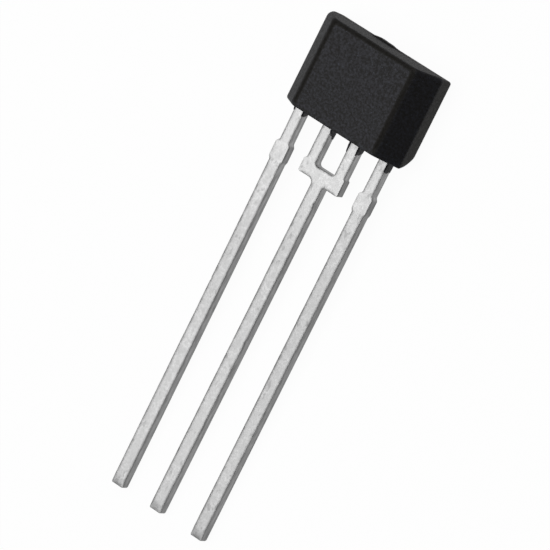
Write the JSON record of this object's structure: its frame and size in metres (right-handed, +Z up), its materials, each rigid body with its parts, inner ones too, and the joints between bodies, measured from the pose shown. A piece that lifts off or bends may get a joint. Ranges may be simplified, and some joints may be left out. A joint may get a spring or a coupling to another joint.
{
  "type": "magnetic sensor",
  "caption": "Hall-effect magnetic sensor in a chamfered black moulded single-in-line case, with long flat tinned leads and a forked centre lead.",
  "frame": {"origin": "centre of the bounding box's bottom, on the surface that the sensor lies on", "axes": "+X across the leads, +Y along the leads from their tips towards the case, +Z up, out of the surface it lies on. The sensing face looks up, leaning 1.4 degrees towards -Y."},
  "size_m": [0.0052, 0.0182, 0.0016],
  "materials": {
    "case_epoxy": "fine matt moulded epoxy",
    "tinned_lead": "matt tin plating on copper alloy",
    "chip_adhesive": "cured silver-filled adhesive",
    "silicon": "polished silicon",
    "gold_wire": "bright drawn gold"
  },
  "bodies": {
    "root": {"case": "case_epoxy", "lead_left": "tinned_lead", "lead_centre": "tinned_lead", "lead_right": "tinned_lead", "chip_adhesive": "chip_adhesive", "hall_chip": "silicon", "wire_supply": "gold_wire", "wire_ground": "gold_wire", "wire_output": "gold_wire"}
  },
  "joints": []
}
